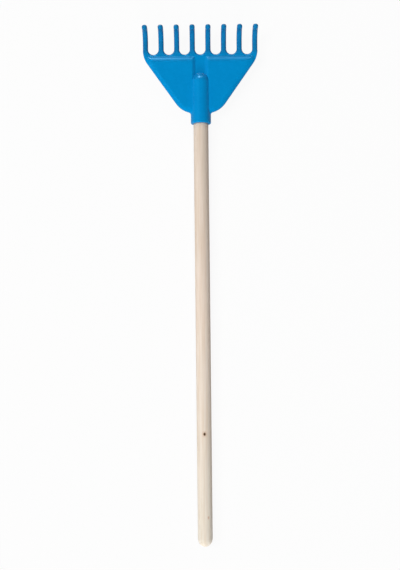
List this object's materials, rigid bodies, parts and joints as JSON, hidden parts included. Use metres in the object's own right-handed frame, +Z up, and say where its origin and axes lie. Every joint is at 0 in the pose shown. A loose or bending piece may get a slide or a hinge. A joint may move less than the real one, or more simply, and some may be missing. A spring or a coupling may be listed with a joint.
{
  "type": "sand rake",
  "caption": "Child's sand rake: a moulded plastic head with curved tines and raised panels, on a straight round wooden handle.",
  "frame": {"origin": "The rake lies on its back on the ground. The origin is on the ground, under the middle of the rake's length and on its plane of symmetry.", "axes": "+X runs across the blade, +Y runs along the handle from the grip end to the tines, and +Z points up, the way the tines point. The picture looks straight down at it, with +Y up the picture."},
  "size_m": [0.1546, 0.6988, 0.038],
  "materials": {
    "blue_plastic": "moulded, satin",
    "pale_wood": "sanded, bare",
    "zinc_steel": "zinc plated"
  },
  "bodies": {
    "root": {"rake_head": "blue_plastic", "handle": "pale_wood", "fixing_screw": "zinc_steel"}
  },
  "joints": []
}
